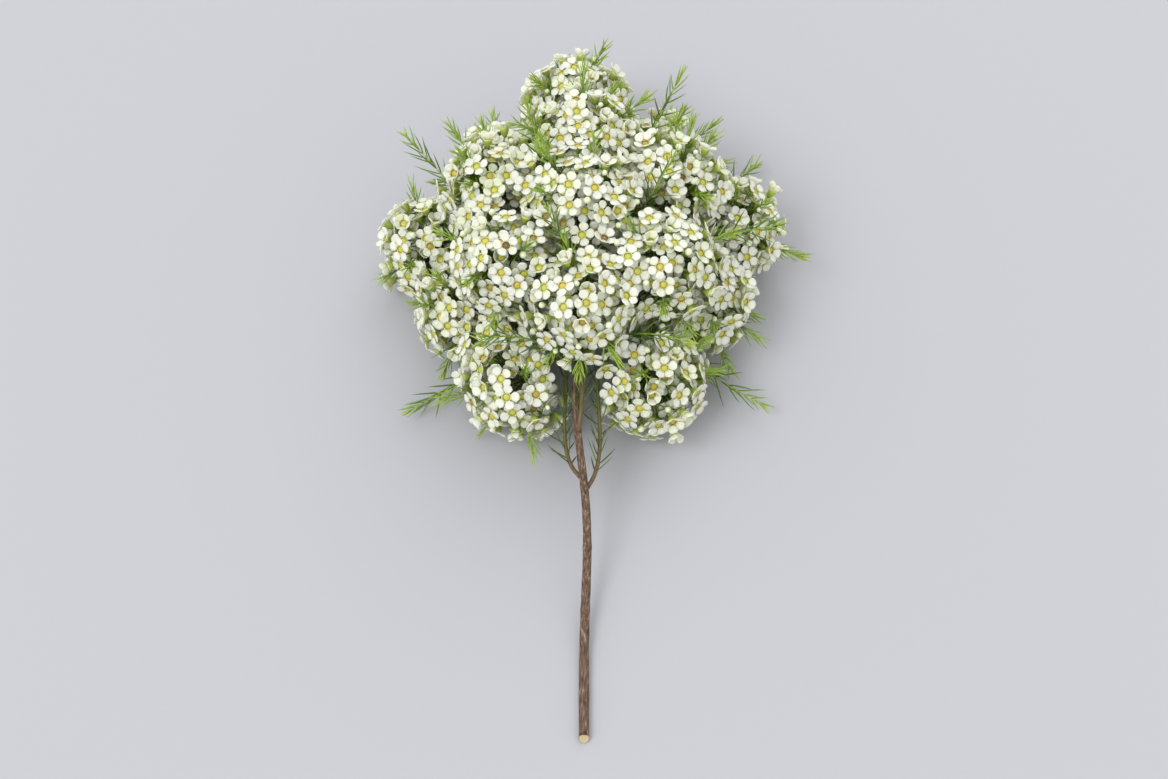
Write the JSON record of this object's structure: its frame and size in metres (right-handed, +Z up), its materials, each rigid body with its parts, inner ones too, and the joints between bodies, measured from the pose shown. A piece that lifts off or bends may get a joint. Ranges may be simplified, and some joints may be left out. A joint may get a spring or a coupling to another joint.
{
  "type": "waxflower stem",
  "caption": "Cut waxflower stem laid on its side: woody stem, green side branches with fine needle leaves and domed heads of small white flowers.",
  "frame": {"origin": "on the surface, under the middle of the flat run at the foot of the main stem", "axes": "+Y along the main stem from the cut end to the flowering tip; +Z up from the surface it lies on"},
  "size_m": [0.258, 0.4484, 0.1657],
  "materials": {
    "bark": "matte woody bark",
    "leaf_green": "satin fresh green leaf",
    "petal_white": "soft waxy petal"
  },
  "bodies": {
    "root": {"main_stem": "bark", "side_branch_01": "leaf_green", "side_branch_02": "leaf_green", "side_branch_03": "leaf_green", "side_branch_04": "leaf_green", "side_branch_05": "leaf_green", "side_branch_06": "leaf_green", "side_branch_07": "leaf_green", "side_branch_08": "leaf_green", "side_branch_09": "leaf_green", "side_branch_10": "leaf_green", "side_branch_11": "leaf_green", "side_branch_12": "leaf_green", "side_branch_13": "leaf_green", "side_branch_14": "leaf_green", "side_branch_15": "leaf_green", "flower_head_01": "petal_white", "flower_head_02": "petal_white", "flower_head_03": "petal_white", "flower_head_04": "petal_white", "flower_head_05": "petal_white", "flower_head_06": "petal_white", "flower_head_07": "petal_white", "flower_head_08": "petal_white", "flower_head_09": "petal_white", "flower_head_10": "petal_white", "flower_head_11": "petal_white", "flower_head_12": "petal_white", "flower_head_13": "petal_white", "flower_head_14": "petal_white", "flower_head_15": "petal_white", "flower_head_16": "petal_white"}
  },
  "joints": []
}
